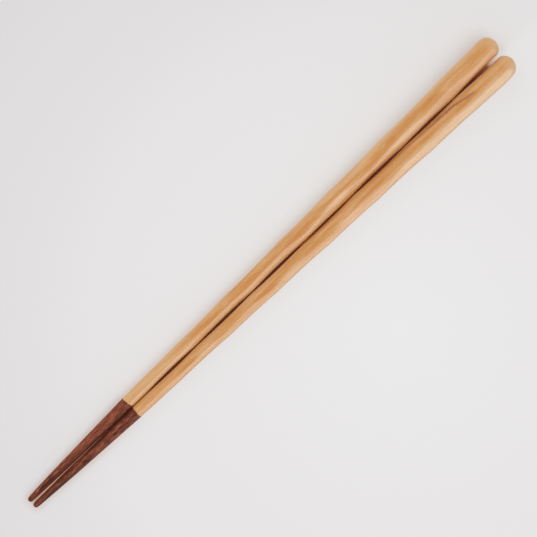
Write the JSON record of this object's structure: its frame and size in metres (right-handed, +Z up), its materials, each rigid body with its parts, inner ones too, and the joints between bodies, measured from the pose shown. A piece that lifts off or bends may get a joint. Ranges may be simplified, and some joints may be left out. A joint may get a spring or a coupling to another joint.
{
  "type": "pair of chopsticks",
  "caption": "Pair of tapered hand-whittled wooden chopsticks with rounded butts and brown lacquered tips, lying side by side; held in one hand to pick up food.",
  "frame": {"origin": "on the surface that the pair lies on, under the middle of the pair, halfway from tips to butts", "axes": "+Y along the pair from the tips to the butts, +X from the left stick to the right stick, +Z up"},
  "size_m": [0.0176, 0.2301, 0.0087],
  "materials": {
    "oiled_wood": "oiled, satin",
    "brown_lacquer": "brown lacquer wiped thin, satin"
  },
  "bodies": {
    "root": {"chopstick_left": "oiled_wood", "chopstick_right": "oiled_wood", "lacquer_tip_left": "brown_lacquer", "lacquer_tip_right": "brown_lacquer"}
  },
  "joints": []
}
